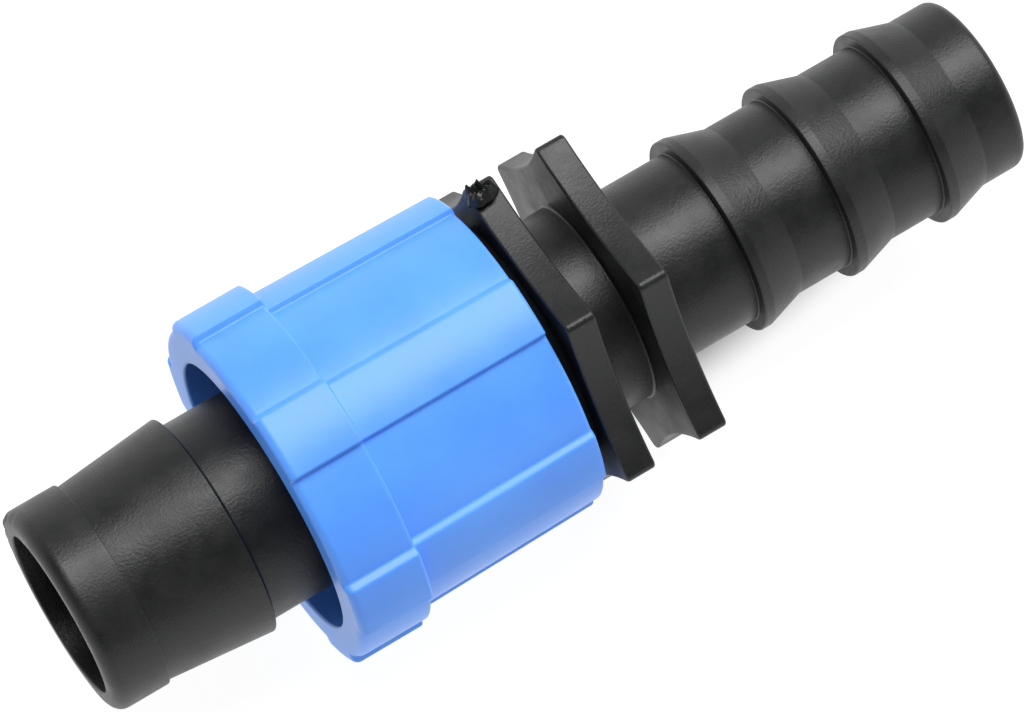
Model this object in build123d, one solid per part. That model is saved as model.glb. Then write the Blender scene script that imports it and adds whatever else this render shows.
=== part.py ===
from build123d import *
import os
from math import cos, radians, sin

# Connector that joins thin-walled drip tape to a barbed polyethylene pipe, with a lock nut.
# Millimetres and degrees. The water way runs along X from the tape end to the pipe end, and
# +Z is up: the connector lies on its side. Places are worked out from the tape end, and the
# finished pieces are moved so that the origin is on the water way's axis, halfway along.

# tape spigot of the connector body
tape_spigot_length = 38.0      # tape end to the first grip flange
tape_bore_radius = 6.2
tip_band_radius = 7.9          # plain band round the tape end
tip_band_length = 4.2
tip_rounding = 1.0
band_step = 0.25               # drop from the band to the foot of the cone
shoulder_radius = 8.45         # largest radius of the cone that the tape is pushed over
cone_length = 8.2
shoulder_back_length = 0.15    # steep step from the shoulder down to the neck
neck_radius = 7.73

# threaded barrel that carries the lock nut
barrel_setback = 0.9           # from the nut's lip, as stored, to the foot of the barrel
barrel_lead_in = 1.3           # cone that joins the neck to the barrel
thread_crest_radius = 9.9
thread_depth = 0.9
thread_lead = 3.5
thread_foot_width = 1.9        # along the axis, at the barrel
thread_crest_width = 0.9
thread_end_margin = 0.05       # plain barrel beyond each end of the thread
thread_sink = 0.3              # how far a ridge starts below the surface it joins

# two thin hexagonal flanges that the fingers or a spanner hold
flange_corner_radius = 13.5
flange_thickness = 2.3
flange_gap = 3.55
flange_hollow = 0.85           # depth of the shallow arc of each side
flange_corner_rounding = 0.5
flange_edge_rounding = 0.25
grip_core_radius = 7.6
core_fillet = 0.2

# pipe spigot with its barbs
pipe_spigot_length = 29.65     # second grip flange to the pipe end
pipe_bore_radius = 5.25
stub_radius = 6.7
stub_fillet = 0.6
barb_radius = 7.6
barb_count = 3
barb_length = 3.65             # back face to the end of its ramp
barb_crest_length = 0.75
barb_rounding = 0.15
first_barb_distance = 6.95     # from the second grip flange
end_land_length = 3.45         # plain end beyond the last ramp
pipe_end_rounding = 0.7
bore_taper_length = 3.0        # where the wide bore narrows to the pipe bore

# lock nut
nut_length = 20.55
nut_rest_gap = 1.05            # from the nut to the first grip flange, as stored
nut_wall = 1.1                 # thinnest wall, outside the thread groove
nut_draft = 0.27               # growth in radius from the flange end to the collar
thread_clearance = 0.1         # the nut's crests clear the body's, so the nut can slide
nut_groove_depth = 0.8
groove_side_play = 0.5         # groove wider than the body's thread, along the axis
collar_length = 5.7
collar_step = 0.88             # collar above the barrel of the nut
rib_height = 0.5
pad_height = 0.6               # ribs on the collar
rib_count = 6
rib_width_angle = 22.0
rib_turn = 17.0                # from +Z towards -Y to the first rib
mouth_relief = 0.5             # mouth bore outside the nut's crests
mouth_depth = 3.0
lip_cone_length = 1.3
lip_length = 1.0
lip_clearance = 0.15           # lip outside the shoulder that it passes over
lip_back_length = 1.4          # cone from the lip out to the thread
nut_edge_rounding = 0.35
mouth_edge_rounding = 0.6      # outer edge of the collar at the mouth

# places along the axis that follow from the sizes above
shoulder_x = tip_band_length + cone_length
flange_x = tape_spigot_length
core_x = flange_x + flange_thickness
second_flange_x = core_x + flange_gap
stub_x = second_flange_x + flange_thickness
pipe_end_x = stub_x + pipe_spigot_length
barb_run = pipe_spigot_length - first_barb_distance - end_land_length - barb_length
barb_pitch = barb_run / (barb_count - 1)
nut_end_x = flange_x - nut_rest_gap
nut_mouth_x = nut_end_x - nut_length
lip_x = nut_mouth_x + mouth_depth + lip_cone_length
barrel_x = lip_x + lip_length + barrel_setback
thread_root_radius = thread_crest_radius - thread_depth
thread_x = barrel_x + barrel_lead_in + thread_foot_width / 2 + thread_end_margin
thread_length = flange_x - thread_foot_width / 2 - thread_end_margin - thread_x


def turned(outline):
    """Solid turned about X from corners given as (x, radius, rounding)."""
    points = [(x, radius) for x, radius, _ in outline]
    roundings = [rounding for _, _, rounding in outline]
    section = make_face(FilletPolyline(*points, radius=roundings, close=True))
    return revolve(section, Axis.X)


def barb_outline(back_x):
    """Back face, short crest and ramp of one barb."""
    return [
        (back_x, stub_radius, 0),
        (back_x, barb_radius, barb_rounding),
        (back_x + barb_crest_length, barb_radius, 2 * barb_rounding),
        (back_x + barb_length, stub_radius, 0),
    ]


def helical_ridge(foot_radius, crest_radius, foot_width, crest_width, first_x, length):
    """Trapezoid carried along a right-hand helix about X."""
    path = Helix(thread_lead, length, foot_radius)
    height = crest_radius - foot_radius
    corners = [
        (0, -foot_width / 2),
        (height, -crest_width / 2),
        (height, crest_width / 2),
        (0, foot_width / 2),
    ]
    section = Plane.XZ * Pos(foot_radius, 0) * make_face(Polyline(*corners, close=True))
    ridge = sweep(section, path=path, is_frenet=True)
    return Pos(first_x, 0, 0) * Rot(Y=90) * ridge


def grip_flange(near_x):
    """Hexagonal plate, corners towards +Y and -Y, each side a shallow hollow arc."""
    corner_angles = [60 * i for i in range(6)]
    side_radius = flange_corner_radius * cos(radians(30)) - flange_hollow
    sides = []
    for angle in corner_angles:
        ends = [angle, angle + 60]
        start, finish = [
            (flange_corner_radius * cos(radians(a)), flange_corner_radius * sin(radians(a)))
            for a in ends
        ]
        middle_angle = radians(angle + 30)
        middle = (side_radius * cos(middle_angle), side_radius * sin(middle_angle))
        sides.append(ThreePointArc(start, middle, finish))
    plate_face = make_face(sides)
    plate_face = fillet(plate_face.vertices(), flange_corner_rounding)
    plate = extrude(Plane.YZ * plate_face, flange_thickness)
    rims = plate.faces().sort_by(Axis.X)
    plate = fillet(rims[0].edges() + rims[-1].edges(), flange_edge_rounding)
    return Pos(near_x, 0, 0) * plate


def connector_body():
    """One moulding: tape spigot, threaded barrel, two grip flanges and pipe spigot."""
    tape_side = [
        (0, 0, 0),
        (0, tip_band_radius, tip_rounding),
        (tip_band_length, tip_band_radius, 0.1),
        (tip_band_length, tip_band_radius - band_step, 0),
        (shoulder_x, shoulder_radius, 0.15),
        (shoulder_x + shoulder_back_length, neck_radius, 0.2),
        (barrel_x, neck_radius, 0.3),
        (barrel_x + barrel_lead_in, thread_root_radius, 0.2),
        (flange_x + flange_thickness / 2, thread_root_radius, 0),
        (flange_x + flange_thickness / 2, 0, 0),
    ]
    core = [
        (core_x - core_fillet, 0, 0),
        (core_x - core_fillet, grip_core_radius + 2 * core_fillet, 0),
        (core_x, grip_core_radius + 2 * core_fillet, 0),
        (core_x, grip_core_radius, core_fillet),
        (second_flange_x, grip_core_radius, core_fillet),
        (second_flange_x, grip_core_radius + 2 * core_fillet, 0),
        (second_flange_x + core_fillet, grip_core_radius + 2 * core_fillet, 0),
        (second_flange_x + core_fillet, 0, 0),
    ]
    pipe_side = [
        (second_flange_x + flange_thickness / 2, 0, 0),
        (second_flange_x + flange_thickness / 2, stub_radius + 2 * stub_fillet, 0),
        (stub_x, stub_radius + 2 * stub_fillet, 0),
        (stub_x, stub_radius, stub_fillet),
    ]
    for i in range(barb_count):
        pipe_side += barb_outline(stub_x + first_barb_distance + i * barb_pitch)
    pipe_side += [(pipe_end_x, stub_radius, pipe_end_rounding), (pipe_end_x, 0, 0)]

    thread = helical_ridge(
        thread_root_radius - thread_sink,
        thread_crest_radius,
        thread_foot_width,
        thread_crest_width,
        thread_x,
        thread_length,
    )
    bore = turned([
        (-1, 0, 0),
        (-1, tape_bore_radius, 0),
        (flange_x - bore_taper_length, tape_bore_radius, 0),
        (flange_x, pipe_bore_radius, 0),
        (pipe_end_x + 1, pipe_bore_radius, 0),
        (pipe_end_x + 1, 0, 0),
    ])
    body = turned(tape_side) + thread + grip_flange(flange_x) + turned(core)
    body = body + grip_flange(second_flange_x) + turned(pipe_side)
    return body - bore


def rib_wedges(outer_radius):
    """Sectors of the ribs, as long as the nut and a little more."""
    half = radians(rib_width_angle / 2)
    reach = 1.2 * outer_radius
    corners = [(0, 0), (-reach * sin(half), reach * cos(half)), (reach * sin(half), reach * cos(half))]
    sector = extrude(Plane.YZ * make_face(Polyline(*corners, close=True)), nut_length + 2)
    wedges = Part()
    for i in range(rib_count):
        wedges += Rot(X=rib_turn + i * 360 / rib_count) * sector
    return Pos(nut_mouth_x - 1, 0, 0) * wedges


def lock_nut():
    """Internally threaded nut with a collar, long ribs and a clamping lip inside its mouth."""
    crest_radius = thread_crest_radius + thread_clearance
    groove_radius = crest_radius + nut_groove_depth
    far_radius = groove_radius + nut_wall
    near_radius = far_radius + nut_draft
    collar_radius = near_radius + collar_step
    collar_end_x = nut_mouth_x + collar_length

    barrel = turned([
        (nut_mouth_x, 0, 0),
        (nut_mouth_x, collar_radius, mouth_edge_rounding),
        (collar_end_x, collar_radius, nut_edge_rounding),
        (collar_end_x, near_radius, 0.1),
        (nut_end_x, far_radius, nut_edge_rounding),
        (nut_end_x, 0, 0),
    ])
    ribs = turned([
        (nut_mouth_x, 0, 0),
        (nut_mouth_x, collar_radius + pad_height, mouth_edge_rounding),
        (collar_end_x, collar_radius + pad_height, nut_edge_rounding),
        (collar_end_x, near_radius + rib_height, 0.1),
        (nut_end_x, far_radius + rib_height, nut_edge_rounding),
        (nut_end_x, 0, 0),
    ])
    ribs = ribs & rib_wedges(collar_radius + pad_height)

    lip_radius = shoulder_radius + lip_clearance
    inside = turned([
        (nut_mouth_x - 1, 0, 0),
        (nut_mouth_x - 1, crest_radius + mouth_relief, 0),
        (nut_mouth_x + mouth_depth, crest_radius + mouth_relief, 0.3),
        (lip_x, lip_radius, 0.2),
        (lip_x + lip_length, lip_radius, 0.2),
        (lip_x + lip_length + lip_back_length, crest_radius, 0),
        (nut_end_x + 2 * thread_lead, crest_radius, 0),
        (nut_end_x + 2 * thread_lead, 0, 0),
    ])
    # the groove starts half a turn nearer the mouth than the body's thread, in step with it
    groove_x = thread_x - thread_lead / 2
    groove = helical_ridge(
        crest_radius - thread_sink,
        groove_radius,
        thread_foot_width + groove_side_play,
        thread_crest_width + groove_side_play,
        groove_x,
        nut_end_x + thread_lead - groove_x,
    )
    hollow = inside + Rot(X=180) * groove
    return barrel + ribs - hollow


os.makedirs("parts", exist_ok=True)
pieces = {"connector_body": connector_body(), "lock_nut": lock_nut()}
for name, piece in pieces.items():
    export_step(Pos(-pipe_end_x / 2, 0, 0) * piece, f"parts/{name}.step")
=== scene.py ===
import math

import bpy
import numpy as np
from mathutils import Matrix, Vector


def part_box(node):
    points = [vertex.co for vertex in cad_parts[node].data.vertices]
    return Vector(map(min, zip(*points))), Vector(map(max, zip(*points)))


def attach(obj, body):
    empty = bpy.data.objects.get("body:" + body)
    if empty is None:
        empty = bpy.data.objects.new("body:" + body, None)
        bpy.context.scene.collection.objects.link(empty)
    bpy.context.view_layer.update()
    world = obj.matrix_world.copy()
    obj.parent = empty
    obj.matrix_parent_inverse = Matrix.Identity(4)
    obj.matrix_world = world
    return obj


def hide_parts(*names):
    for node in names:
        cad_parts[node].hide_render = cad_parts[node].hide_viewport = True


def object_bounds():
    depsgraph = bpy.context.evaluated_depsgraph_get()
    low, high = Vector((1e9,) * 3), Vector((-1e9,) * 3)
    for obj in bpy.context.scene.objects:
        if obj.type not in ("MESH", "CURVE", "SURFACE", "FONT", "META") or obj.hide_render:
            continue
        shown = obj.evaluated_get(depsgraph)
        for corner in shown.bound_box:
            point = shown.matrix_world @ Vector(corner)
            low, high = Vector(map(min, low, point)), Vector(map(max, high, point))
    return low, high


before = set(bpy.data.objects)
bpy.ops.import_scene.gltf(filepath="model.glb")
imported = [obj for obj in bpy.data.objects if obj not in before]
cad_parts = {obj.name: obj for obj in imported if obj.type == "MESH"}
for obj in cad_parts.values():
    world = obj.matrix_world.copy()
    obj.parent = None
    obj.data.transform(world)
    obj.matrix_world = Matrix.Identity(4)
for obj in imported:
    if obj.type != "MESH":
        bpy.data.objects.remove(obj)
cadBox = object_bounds()
mm = 0.001
print("frame loaded")

bodyLow, bodyHigh = (np.array(c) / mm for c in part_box("connector_body"))
nutLow, nutHigh = (np.array(c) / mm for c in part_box("lock_nut"))
tapeEnd, pipeEnd = bodyLow[0], bodyHigh[0]


# ---- shared shape helpers ----

# corners (along, radius, rounding) joined by straight runs, each corner an arc tangent to its two runs:
# tangent length = rounding * tan(turn / 2), arc points = centre + rounding * (cos, sin) of a swept angle,
# with one more point a hair outside each end of the arc, which keeps the runs beside it flat
def roundedOutline(corners, arcSteps=5, hair=0.04):
    spots = np.array([c[:2] for c in corners], float)
    pieces = []
    for i, (along, radius, rounding) in enumerate(corners):
        here = spots[i]
        if rounding <= 0 or i in (0, len(corners) - 1):
            pieces.append(here[None])
            continue
        back = spots[i - 1] - here
        ahead = spots[i + 1] - here
        back, ahead = back / np.linalg.norm(back), ahead / np.linalg.norm(ahead)
        halfInside = math.acos(np.clip(back @ ahead, -1, 1)) / 2
        tangent = rounding / math.tan(halfInside)
        middle = back + ahead
        centre = here + middle / np.linalg.norm(middle) * rounding / math.sin(halfInside)
        first, last = here + back * tangent - centre, here + ahead * tangent - centre
        a0, a1 = math.atan2(first[1], first[0]), math.atan2(last[1], last[0])
        sweep = (a1 - a0 + math.pi) % (2 * math.pi) - math.pi
        a = a0 + sweep * np.linspace(0, 1, arcSteps + 1)
        arc = centre + rounding * np.stack([np.cos(a), np.sin(a)], 1)
        pieces.append(np.concatenate([[arc[0] + back * hair], arc, [arc[-1] + ahead * hair]]))
    return np.concatenate(pieces)


# long runs between outline points are cut into equal shares no longer than step
def subdivided(points, step):
    gaps = np.linalg.norm(np.diff(points, axis=0), axis=1)
    counts = np.maximum(1, np.ceil(gaps / step).astype(int))
    place = np.concatenate([[0]] + [i + np.arange(1, n + 1) / n for i, n in enumerate(counts)])
    rows = np.arange(len(points))
    return np.stack([np.interp(place, rows, points[:, k]) for k in range(points.shape[1])], 1)


# a grid of points (rows, columns, 3) becomes quads; columns close round the axis, rows close if asked
def gridPiece(name, points, material, body, closeRows=True):
    rows, columns = points.shape[:2]
    r = np.arange(rows if closeRows else rows - 1)[:, None]
    c = np.arange(columns)[None, :]
    r2, c2 = (r + 1) % rows, (c + 1) % columns
    quads = np.stack([r * columns + c, r * columns + c2, r2 * columns + c2, r2 * columns + c], -1)
    mesh = bpy.data.meshes.new(name)
    mesh.from_pydata((points.reshape(-1, 3) * mm).tolist(), [], quads.reshape(-1, 4).tolist())
    mesh.shade_smooth()
    mesh.materials.append(material)
    piece = bpy.data.objects.new(name, mesh)
    bpy.context.scene.collection.objects.link(piece)
    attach(piece, body)
    return piece


# angles round the axis, closer together where the section turns sharply
def sectorAngles(edges, fine, coarse, spread):
    parts = []
    for k in range(6):
        stops = []
        for e in edges:
            stops += [e - spread, e + spread]
        stops = sorted(stops)
        bounds = stops + [stops[0] + 60]
        for i in range(len(bounds) - 1):
            count = fine if i % 2 == 0 else coarse
            parts.append(60 * k + np.linspace(bounds[i], bounds[i + 1], count, endpoint=False))
    return np.radians(np.concatenate(parts))


# ---- materials ----

def newMaterial(name):
    material = bpy.data.materials.new(name)
    material.use_nodes = True
    nodes = material.node_tree.nodes
    return material, nodes, material.node_tree.links, nodes["Principled BSDF"]


def noiseNode(nodes, links, coords, scale, detail=3.0, rough=0.55):
    noise = nodes.new("ShaderNodeTexNoise")
    noise.inputs["Scale"].default_value = scale
    noise.inputs["Detail"].default_value = detail
    noise.inputs["Roughness"].default_value = rough
    links.new(coords.outputs["Object"], noise.inputs["Vector"])
    return noise


def rampNode(nodes, links, source, stops):
    ramp = nodes.new("ShaderNodeValToRGB")
    ramp.color_ramp.elements[0].position = stops[0][0]
    ramp.color_ramp.elements[0].color = (*stops[0][1], 1)
    ramp.color_ramp.elements[1].position = stops[-1][0]
    ramp.color_ramp.elements[1].color = (*stops[-1][1], 1)
    for place, colour in stops[1:-1]:
        ramp.color_ramp.elements.new(place).color = (*colour, 1)
    links.new(source, ramp.inputs["Fac"])
    return ramp


blackLook = {
    "dark": (0.0060, 0.0064, 0.0068),
    "light": (0.0115, 0.0118, 0.0118),
    "cloudScale": 420,       # soft mottling, per metre
    "grainScale": 4600,      # fine grain of the moulding
    "rippleScale": 900,      # slow unevenness of the skin
    "roughLow": 0.36,
    "roughHigh": 0.48,
    "grainDepth": 0.000021,
    "rippleDepth": 0.000006,
    "shine": 0.44,
}


# two bumps in a row: slow ripples first, then the fine grain on top of them
def moulded(nodes, links, coords, shader, ripple, rippleDepth, grain, grainDepth):
    last = None
    for scale, depth, detail in ((ripple, rippleDepth, 1.0), (grain, grainDepth, 2.0)):
        noise = noiseNode(nodes, links, coords, scale, detail, 0.5)
        bump = nodes.new("ShaderNodeBump")
        bump.inputs["Strength"].default_value = 1.0
        bump.inputs["Distance"].default_value = depth
        links.new(noise.outputs["Fac"], bump.inputs["Height"])
        if last:
            links.new(last.outputs["Normal"], bump.inputs["Normal"])
        last = bump
    links.new(last.outputs["Normal"], shader.inputs["Normal"])


def unevenGloss(nodes, links, source, shader, low, high):
    rough = nodes.new("ShaderNodeMapRange")
    rough.inputs["From Min"].default_value = 0.3
    rough.inputs["From Max"].default_value = 0.7
    rough.inputs["To Min"].default_value = low
    rough.inputs["To Max"].default_value = high
    links.new(source, rough.inputs["Value"])
    links.new(rough.outputs["Result"], shader.inputs["Roughness"])


# black polypropylene: colour and gloss follow soft clouds, the skin is grainy
def blackPlastic():
    look = blackLook
    material, nodes, links, shader = newMaterial("blackPolypropylene")
    coords = nodes.new("ShaderNodeTexCoord")
    clouds = noiseNode(nodes, links, coords, look["cloudScale"], 4.0, 0.6)
    tint = rampNode(nodes, links, clouds.outputs["Fac"], [(0.35, look["dark"]), (0.70, look["light"])])
    links.new(tint.outputs["Color"], shader.inputs["Base Color"])
    unevenGloss(nodes, links, clouds.outputs["Fac"], shader, look["roughLow"], look["roughHigh"])
    moulded(nodes, links, coords, shader, look["rippleScale"], look["rippleDepth"], look["grainScale"], look["grainDepth"])
    shader.inputs["IOR"].default_value = 1.49
    shader.inputs["Specular IOR Level"].default_value = look["shine"]
    return material


blueLook = {
    "deep": (0.088, 0.300, 0.92),
    "pale": (0.108, 0.350, 1.0),
    "shine": 0.40,
    "cloudScale": 140,
    "grainScale": 2200,
    "rippleScale": 420,
    "roughLow": 0.30,
    "roughHigh": 0.40,
    "grainDepth": 0.000004,
    "rippleDepth": 0.000012,
    "scatter": 0.2,
}


# blue polypropylene: a little light scatters inside, the gloss is soft and slightly uneven
def bluePlastic():
    look = blueLook
    material, nodes, links, shader = newMaterial("bluePolypropylene")
    coords = nodes.new("ShaderNodeTexCoord")
    clouds = noiseNode(nodes, links, coords, look["cloudScale"], 3.0, 0.5)
    tint = rampNode(nodes, links, clouds.outputs["Fac"], [(0.3, look["deep"]), (0.7, look["pale"])])
    links.new(tint.outputs["Color"], shader.inputs["Base Color"])
    unevenGloss(nodes, links, clouds.outputs["Fac"], shader, look["roughLow"], look["roughHigh"])
    moulded(nodes, links, coords, shader, look["rippleScale"], look["rippleDepth"], look["grainScale"], look["grainDepth"])
    shader.inputs["Subsurface Weight"].default_value = look["scatter"]
    shader.inputs["Subsurface Radius"].default_value = (0.2, 0.6, 1.0)
    shader.inputs["Subsurface Scale"].default_value = 0.0010
    shader.inputs["Specular IOR Level"].default_value = look["shine"]
    shader.inputs["IOR"].default_value = 1.49
    return material


black = blackPlastic()
blue = bluePlastic()
print("materials ready")


# ---- connector body ----

body = {
    "bore": 6.2, "band": 7.9, "bandLength": 4.2, "tipRounding": 1.0, "bandStep": 0.25,
    "shoulder": 8.45, "shoulderAt": 12.4, "shoulderBack": 0.15, "neck": 7.73,
    "barrelAt": 22.6, "barrelLead": 1.3, "barrel": 9.0,
    "flangeAt": 38.0, "flangeThick": 2.3, "flangeGap": 3.55, "core": 7.6, "coreFillet": 0.2,
    "corner": 13.5, "hollow": 0.85, "cornerRounding": 0.5, "edgeRounding": 0.22,
    "stub": 6.7, "stubFillet": 0.6, "pipeBore": 5.25, "boreTaper": 3.0,
    "barb": 7.6, "barbStart": 6.95, "barbPitch": 7.8, "barbLength": 3.65, "barbCrest": 0.75,
    "barbRounding": 0.12, "barbs": 3, "endRounding": 0.7, "rimRounding": 0.15,
    "burrAt": 14, "burrSpread": 26, "burrHeight": 0.5, "burrLength": 1.1,
}


# radius of the hexagon at an angle: each side is an arc hollowed towards the axis,
# r = c cos(a) - sqrt(R^2 - c^2 sin(a)^2), and each corner a small circle, r = d cos(b) + sqrt(q^2 - d^2 sin(b)^2)
def hexRadius(angle, size):
    half = size["corner"] * math.sin(math.pi / 6)
    apothem = size["corner"] * math.cos(math.pi / 6)
    sideArc = (half**2 + size["hollow"]**2) / (2 * size["hollow"])
    centre = apothem - size["hollow"] + sideArc
    fromCorner = (angle + math.pi / 6) % (math.pi / 3) - math.pi / 6
    fromSide = math.pi / 6 - np.abs(fromCorner)
    side = centre * np.cos(fromSide) - np.sqrt(sideArc**2 - (centre * np.sin(fromSide))**2)
    lean = math.asin(half / sideArc)
    insideHalf = math.pi / 3 - lean
    q = size["cornerRounding"]
    d = size["corner"] - q / math.sin(insideHalf)
    tangent = q / math.tan(insideHalf)
    reach = math.atan2(tangent * math.sin(insideHalf), size["corner"] - tangent * math.cos(insideHalf))
    tip = d * np.cos(fromCorner) + np.sqrt(np.maximum(q**2 - (d * np.sin(fromCorner))**2, 0))
    return np.where(np.abs(fromCorner) < reach, tip, side)


# one flange as rows (along, round radius, share of hexagon, inset): up the near face, round the rim, down the far face
def flangeRows(near, innerNear, innerFar, size):
    far = near + size["flangeThick"]
    e = size["edgeRounding"]
    share = np.append(np.linspace(0, 0.95, 8), [0.993, 1])
    n = len(share)
    up = np.stack([np.full(n, near), np.full(n, innerNear), share, np.full(n, e)], 1)
    a = np.linspace(0, math.pi / 2, 6)
    rimIn = np.stack([near + e - e * np.cos(a), np.zeros(6), np.ones(6), e - e * np.sin(a)], 1)
    x = np.concatenate([[near + e], np.linspace(near + e + 0.04, far - e - 0.04, 5), [far - e]])
    rim = np.stack([x, np.zeros(7), np.ones(7), np.zeros(7)], 1)
    rimOut = np.stack([far - e + e * np.sin(a), np.zeros(6), np.ones(6), e - e * np.cos(a)], 1)
    down = np.stack([np.full(n, far), np.full(n, innerFar), share[::-1], np.full(n, e)], 1)
    return np.concatenate([up[:-1], rimIn, rim[1:-1], rimOut, down[1:]])


def roundRows(corners, step, arcSteps=5):
    points = subdivided(roundedOutline(corners, arcSteps), step)
    return np.concatenate([points, np.zeros((len(points), 2))], 1)


# a ragged burr on the tape end: a bell over the angle times a fade along the axis times three beating sines
def tapeBurr(along, reach, angle, size):
    off = (np.degrees(angle) - size["burrAt"] + 180) % 360 - 180
    bell = np.exp(-(off / size["burrSpread"])**2)
    fade = np.clip(1 - along / size["burrLength"], 0, 1)**2
    ragged = 0.45 + 0.3 * np.sin(31 * angle) + 0.2 * np.sin(53 * angle + 1) + 0.2 * np.sin(87 * angle + 2)
    outside = np.clip((reach - size["bore"] - 0.4) / 0.5, 0, 1)
    return size["burrHeight"] * bell * fade * ragged * outside


def connectorBody():
    s = body
    f1 = s["flangeAt"]
    c1 = f1 + s["flangeThick"]
    f2 = c1 + s["flangeGap"]
    p0 = f2 + s["flangeThick"]
    length = pipeEnd - tapeEnd
    tapeSide = [
        (f1 - s["boreTaper"], s["bore"], 0),
        (0, s["bore"], s["rimRounding"]),
        (0, s["band"], s["tipRounding"]),
        (s["bandLength"], s["band"], 0.08),
        (s["bandLength"], s["band"] - s["bandStep"], 0.05),
        (s["shoulderAt"], s["shoulder"], 0.12),
        (s["shoulderAt"] + s["shoulderBack"], s["neck"], 0.15),
        (s["barrelAt"], s["neck"], 0.3),
        (s["barrelAt"] + s["barrelLead"], s["barrel"], 0.2),
        (f1, s["barrel"], 0),
    ]
    coreSide = [
        (c1, s["core"] + 2 * s["coreFillet"], 0),
        (c1, s["core"], s["coreFillet"]),
        (f2, s["core"], s["coreFillet"]),
        (f2, s["core"] + 2 * s["coreFillet"], 0),
    ]
    pipeSide = [(p0, s["stub"] + 2 * s["stubFillet"], 0), (p0, s["stub"], s["stubFillet"])]
    for i in range(s["barbs"]):
        b = p0 + s["barbStart"] + i * s["barbPitch"]
        pipeSide += [
            (b, s["stub"], 0.08),
            (b, s["barb"], s["barbRounding"]),
            (b + s["barbCrest"], s["barb"], 2 * s["barbRounding"]),
            (b + s["barbLength"], s["stub"], 0.3),
        ]
    pipeSide += [
        (length, s["stub"], s["endRounding"]),
        (length, s["pipeBore"], s["rimRounding"]),
        (f1, s["pipeBore"], 0),
    ]
    rows = np.concatenate([
        roundRows(tapeSide, 1.0),
        flangeRows(f1, s["barrel"], s["core"] + 2 * s["coreFillet"], s)[1:-1],
        roundRows(coreSide, 0.8),
        flangeRows(f2, s["core"] + 2 * s["coreFillet"], s["stub"] + 2 * s["stubFillet"], s)[1:-1],
        roundRows(pipeSide, 1.0),
    ])
    angle = sectorAngles([0], 16, 24, 2.2)
    along, radius, share, inset = (rows[:, k:k + 1] for k in range(4))
    reach = (1 - share) * radius + share * (hexRadius(angle[None], s) - inset)
    reach = reach + tapeBurr(along, reach, angle[None], s)
    points = np.stack([
        np.broadcast_to(tapeEnd + along, reach.shape),
        reach * np.cos(angle),
        reach * np.sin(angle),
    ], -1)
    piece = gridPiece("connectorBody", points, black, "body")
    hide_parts("connector_body")
    print("connector body", points.shape)
    return piece


connectorBody()


# ---- thread on the body ----

thread = {
    "lead": 3.5, "foot": 8.7, "crest": 9.9, "footWidth": 1.9, "crestWidth": 0.9,
    "start": 24.9, "end": 37.0, "perTurn": 96, "fade": 0.12, "rounding": 0.12,
}


# a trapezoid carried along a helix: along = start + lead * turns, radius and width from the outline,
# both ends shrink to the barrel over a tenth of a turn
def bodyThread():
    s = thread
    turns = (s["end"] - s["start"]) / s["lead"]
    t = np.linspace(0, turns, int(turns * s["perTurn"]))
    corners = [
        (-s["footWidth"] / 2, s["foot"], 0),
        (-s["crestWidth"] / 2, s["crest"], s["rounding"]),
        (s["crestWidth"] / 2, s["crest"], s["rounding"]),
        (s["footWidth"] / 2, s["foot"], 0),
    ]
    outline = roundedOutline(corners, 4)
    grow = np.clip(np.minimum(t, turns - t) / s["fade"], 0, 1)[:, None]
    grow = 0.001 + 0.999 * np.sqrt(grow * (2 - grow))
    angle = (-math.pi / 2 + 2 * math.pi * t)[:, None]
    radius = s["foot"] + (outline[None, :, 1] - s["foot"]) * grow
    along = tapeEnd + s["start"] + s["lead"] * t[:, None] + outline[None, :, 0] * (0.35 + 0.65 * grow)
    points = np.stack([along, radius * np.cos(angle), radius * np.sin(angle)], -1)
    piece = gridPiece("bodyThread", points, black, "body", closeRows=False)
    print("thread", points.shape)
    return piece


bodyThread()


# ---- torn gate on the first flange ----

gate = {
    "turn": 64,              # degrees from +Y towards +Z, beside a corner of the flange
    "lean": 70,              # direction it stands in
    "fromFlange": 0.85, "rim": 13.05, "width": 1.0, "length": 1.2, "height": 0.75, "pit": 0.8,
    "rings": 22, "spokes": 72, "sunk": 0.35,
}


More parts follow.
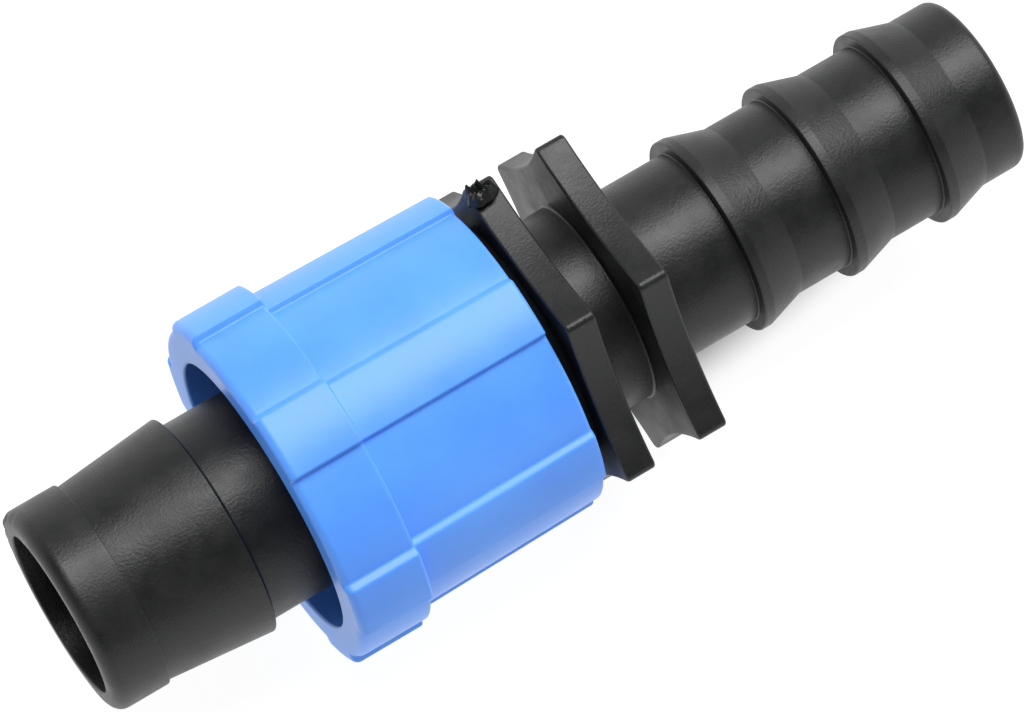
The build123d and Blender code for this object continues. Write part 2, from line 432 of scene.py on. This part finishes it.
# a torn crater: height = a ragged ring (bell of the distance from mid rim) less a pit in the middle,
# over polar distance p and angle q; the last rings sink below the flange's rim
def tornGate():
    s = gate
    p = np.concatenate([[0.001], np.linspace(0.06, 1.0, s["rings"])])[:, None]
    q = np.linspace(0, 2 * math.pi, s["spokes"], endpoint=False)[None, :]
    ragged = 0.9 + 0.22 * np.sin(2 * q + 0.6) + 0.26 * np.sin(5 * q + 2.1) + 0.16 * np.sin(9 * q)
    ring = np.exp(-((p - 0.60 - 0.05 * np.sin(4 * q)) / 0.24)**2)
    pit = np.exp(-(p / 0.42)**2) * (0.8 + 0.2 * np.sin(2 * q + 1))
    crumbs = 0.20 * np.sin(9 * p * np.cos(q) * 2.3) * np.sin(11 * p * np.sin(q) * 2.1 + 1) * np.exp(-(p / 0.8)**2)
    high = s["height"] * (ring * ragged + crumbs) - s["pit"] * s["height"] * pit
    high = high - s["sunk"] * np.clip((p - 0.82) / 0.18, 0, 1)
    wobble = 1 + 0.07 * np.sin(3 * q + 1) + 0.05 * np.sin(7 * q)
    alongX = s["length"] * p * wobble * np.cos(q)
    across = s["width"] * p * wobble * np.sin(q)
    a, b = math.radians(s["turn"]), math.radians(s["lean"])
    out = np.array([0, math.cos(b), math.sin(b)])
    side = np.array([0, -math.sin(b), math.cos(b)])
    centre = np.array([tapeEnd + body["flangeAt"] + s["fromFlange"], s["rim"] * math.cos(a), s["rim"] * math.sin(a)])
    top = centre + alongX[..., None] * np.array([1, 0, 0]) + across[..., None] * side + high[..., None] * out
    floor = top[-1:] * 1.0
    base = centre - s["sunk"] * 1.6 * out + (floor - centre) * np.array([[[0.02, 0.02, 0.02]]])
    points = np.concatenate([top, base])[::-1]
    piece = gridPiece("tornGate", points, black, "body", closeRows=False)
    piece.data.validate()
    print("torn gate", points.shape)
    return piece


tornGate()


# ---- lock nut ----

nut = {
    "far": 11.9, "near": 12.17, "collar": 13.05, "collarLength": 5.7,
    "rib": 0.5, "pad": 0.6, "ribHalfAngle": 11.0, "ribTurn": 17.0, "steepFlank": 0.7, "softFlank": 2.6,
    "edge": 0.3, "mouthEdge": 0.6, "stepEdge": 0.25, "rootEdge": 0.1,
    "mouth": 10.5, "mouthDepth": 3.0, "lipCone": 1.3, "lip": 8.6, "lipLength": 1.0, "bore": 10.0,
    "grooveDepth": 0.8, "grooveFoot": 2.4, "grooveCrest": 1.4, "grooveStart": 24.9, "grooveLead": 3.5,
}


# 1 on a rib and 0 between ribs, with S-shaped flanks: 3u^2 - 2u^3, u running over the width of the flank;
# the flank towards +Y is the softer one
def ribShare(angle, size):
    pitch = 60
    centre = 90 + size["ribTurn"]
    off = (np.degrees(angle) - centre + pitch / 2) % pitch - pitch / 2
    flank = np.where(off < 0, size["softFlank"], size["steepFlank"])
    u = np.clip((size["ribHalfAngle"] + 0.35 * flank - np.abs(off)) / flank, 0, 1)
    return u * u * (3 - 2 * u)


# depth of the thread groove at each point of the bore: the distance to the helix, along the axis, is
# lead times the fraction of a turn left over, and a trapezoid of that distance gives the depth
def grooveShape(along, angle, size):
    turns = (along - size["grooveStart"]) / size["grooveLead"] - (angle + math.pi / 2) / (2 * math.pi)
    left = np.abs((turns + 0.5) % 1 - 0.5) * size["grooveLead"]
    flank = (size["grooveFoot"] - size["grooveCrest"]) / 2
    return size["grooveDepth"] * np.clip((size["grooveFoot"] / 2 - left) / flank, 0, 1)


def lockNut():
    s = nut
    length = nutHigh[0] - nutLow[0]
    boreFrom = s["mouthDepth"] + s["lipCone"] + s["lipLength"] + s["bore"] - s["lip"]
    outerCorners = [
        (s["mouthDepth"], s["mouth"], 0),
        (0, s["mouth"], 0.2),
        (0, s["collar"], s["mouthEdge"]),
        (s["collarLength"], s["collar"], s["stepEdge"]),
        (s["collarLength"], s["near"], s["rootEdge"]),
        (length, s["far"], s["edge"]),
        (length, s["bore"] + 0.3, 0.15),
        (length - 0.4, s["bore"], 0),
    ]
    outer = subdivided(roundedOutline(outerCorners, 6), 0.9)
    # rib height at each row: pads on the collar, ribs behind it, none inside
    isOuter = outer[:, 1] > s["mouth"] + 0.9
    onCollar = outer[:, 0] < s["collarLength"] - 0.001
    height = np.where(isOuter, np.where(onCollar, s["pad"], s["rib"]), 0.0)
    threaded = subdivided(np.array([(length - 0.4, s["bore"]), (boreFrom + 0.3, s["bore"])]), 0.14)[1:]
    lipAt = s["mouthDepth"] + s["lipCone"]
    lip = subdivided(roundedOutline([
        (boreFrom + 0.3, s["bore"], 0),
        (boreFrom, s["bore"], 0.2),
        (lipAt + s["lipLength"], s["lip"], 0.2),
        (lipAt, s["lip"], 0.2),
        (s["mouthDepth"], s["mouth"], 0),
    ], 4), 0.3)[1:-1]
    rows = np.concatenate([outer, threaded, lip])
    height = np.concatenate([height, np.zeros(len(threaded) + len(lip))])[:, None]
    inThread = np.concatenate([np.zeros(len(outer)), np.ones(len(threaded)), np.zeros(len(lip))])[:, None]
    centre = 90 + s["ribTurn"]
    low, high = centre - s["ribHalfAngle"], centre + s["ribHalfAngle"]
    angle = sectorAngles([low, high], 14, 12, 2.0)
    fromTape = nutLow[0] - tapeEnd + rows[:, 0:1]
    edge = np.clip((rows[:, 0:1] - boreFrom) / 0.5, 0, 1) * np.clip((length - 0.4 - rows[:, 0:1]) / 0.3, 0, 1)
    groove = inThread * edge * grooveShape(fromTape, angle[None], s)
    reach = rows[:, 1:2] + height * ribShare(angle[None], s) + groove
    points = np.stack([
        np.broadcast_to(nutLow[0] + rows[:, 0:1], reach.shape),
        reach * np.cos(angle),
        reach * np.sin(angle),
    ], -1)
    piece = gridPiece("lockNut", points, blue, "nut")
    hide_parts("lock_nut")
    print("lock nut", points.shape)
    return piece


lockNut()


# ---- floor, light and camera ----

stage = {
    "floorColour": (0.14, 0.14, 0.14),
    "floorGlow": 0.95,       # the table top is lit from below as well
    "paintedShadowGlow": 0.12,     # painted contact shadow: hardly any glow under the fitting itself
    "paintedShadowAt": (0.0015, 0.0050),
    "paintedShadowHalf": (0.040, 0.0095),
    "tilt": 11.8,            # the tape end leans towards the camera
    "turn": 27.06,           # camera direction round the axis, from up towards the near side
    "rise": 30.24,           # slope of the axis in the frame
    "distance": 0.4221,
    "lens": 212.2,
    "lookShare": 0.4836,     # looked-at point as a share of the length
    "lookLow": 0.00031,
    "skyLow": 0.9,           # brightness of the surroundings at the horizon
    "skyHigh": 0.16,         # and overhead
    "skyLean": 0.32,         # how much further up the bright band reaches on the far side
    "softBoxPower": 6.8,
    "softBoxLong": 0.80,
    "softBoxWide": 0.36,
}


# a painted contact shadow: the glow drops in an oval patch under the fitting, share = length of (place - centre) / half
# sizes, and the glow climbs in an S-curve from half of the oval to its edge
def paleFloor():
    low = cadBox[0][2]
    bpy.ops.mesh.primitive_plane_add(size=4, location=(0, 0, low))
    floor = bpy.context.object
    floor.name = "floor"
    material, nodes, links, shader = newMaterial("paleFloor")
    shader.inputs["Base Color"].default_value = (*stage["floorColour"], 1)
    shader.inputs["Roughness"].default_value = 0.9
    shader.inputs["Emission Color"].default_value = (1, 1, 1, 1)
    coords = nodes.new("ShaderNodeTexCoord")
    offset = nodes.new("ShaderNodeVectorMath")
    offset.operation = "SUBTRACT"
    offset.inputs[1].default_value = (*stage["paintedShadowAt"], 0)
    links.new(coords.outputs["Object"], offset.inputs[0])
    share = nodes.new("ShaderNodeVectorMath")
    share.operation = "DIVIDE"
    share.inputs[1].default_value = (*stage["paintedShadowHalf"], 1)
    links.new(offset.outputs["Vector"], share.inputs[0])
    reach = nodes.new("ShaderNodeVectorMath")
    reach.operation = "LENGTH"
    links.new(share.outputs["Vector"], reach.inputs[0])
    # painted contact shadow: inside the oval under the fitting the glow falls to its low value
    glow = nodes.new("ShaderNodeMapRange")
    glow.interpolation_type = "SMOOTHSTEP"
    glow.inputs["From Min"].default_value = 0.5
    glow.inputs["From Max"].default_value = 1.0
    glow.inputs["To Min"].default_value = stage["paintedShadowGlow"]
    glow.inputs["To Max"].default_value = stage["floorGlow"]
    links.new(reach.outputs["Value"], glow.inputs["Value"])
    links.new(glow.outputs["Result"], shader.inputs["Emission Strength"])
    floor.data.materials.append(material)


def softBox(name, place, aim, long, wide, power):
    light = bpy.data.lights.new(name, "AREA")
    light.shape = "RECTANGLE"
    light.size = long
    light.size_y = wide
    light.energy = power
    holder = bpy.data.objects.new(name, light)
    back = (Vector(place) - Vector(aim)).normalized()
    side = (Vector((1, 0, 0)) - back * back.x).normalized()
    up = back.cross(side)
    holder.matrix_world = Matrix((
        (side.x, up.x, back.x, place[0]),
        (side.y, up.y, back.y, place[1]),
        (side.z, up.z, back.z, place[2]),
        (0, 0, 0, 1),
    ))
    bpy.context.scene.collection.objects.link(holder)


# bright round the horizon and dim overhead: brightness follows the height of the direction, less a share of
# how far it points to +Y, so the far side is lit further up than the near side
def studioSky():
    world = bpy.data.worlds.new("studio")
    world.use_nodes = True
    nodes, links = world.node_tree.nodes, world.node_tree.links
    coords = nodes.new("ShaderNodeTexCoord")
    height = nodes.new("ShaderNodeVectorMath")
    height.operation = "DOT_PRODUCT"
    height.inputs[1].default_value = (0, -stage["skyLean"], 1)
    links.new(coords.outputs["Generated"], height.inputs[0])
    low, high = stage["skyLow"], stage["skyHigh"]
    stops = [(0.0, (low,) * 3), (0.12, (low,) * 3), (0.34, (0.4 * low + 0.6 * high,) * 3), (0.55, (high,) * 3)]
    ramp = rampNode(nodes, links, height.outputs["Value"], stops)
    links.new(ramp.outputs["Color"], nodes["Background"].inputs["Color"])
    bpy.context.scene.world = world


def studioLight():
    studioSky()
    softBox("softBox", (0.20, 0.03, 0.62), (0, 0, 0), stage["softBoxLong"], stage["softBoxWide"], stage["softBoxPower"])


# back = (-sin tilt, -cos tilt sin turn, cos tilt cos turn); the axis, seen along back, is turned to rise in the frame
def photoCamera():
    s = stage
    tilt, turn, rise = (math.radians(s[k]) for k in ("tilt", "turn", "rise"))
    back = Vector((-math.sin(tilt), -math.cos(tilt) * math.sin(turn), math.cos(tilt) * math.cos(turn)))
    along = Vector((1, 0, 0))
    along = (along - back * along.dot(back)).normalized()
    across = back.cross(along)
    right = along * math.cos(rise) - across * math.sin(rise)
    up = along * math.sin(rise) + across * math.cos(rise)
    lowX, highX = cadBox[0][0], cadBox[1][0]
    target = Vector((lowX + s["lookShare"] * (highX - lowX), 0, 0)) - across * s["lookLow"]
    place = target + back * s["distance"]
    camera = bpy.data.cameras.new("camera")
    camera.lens = s["lens"]
    camera.clip_start = 0.01
    holder = bpy.data.objects.new("camera", camera)
    holder.matrix_world = Matrix((
        (right.x, up.x, back.x, place.x),
        (right.y, up.y, back.y, place.y),
        (right.z, up.z, back.z, place.z),
        (0, 0, 0, 1),
    ))
    bpy.context.scene.collection.objects.link(holder)
    bpy.context.scene.camera = holder


paleFloor()
studioLight()
photoCamera()
bpy.context.scene.view_settings.view_transform = "Standard"
print("stage ready")
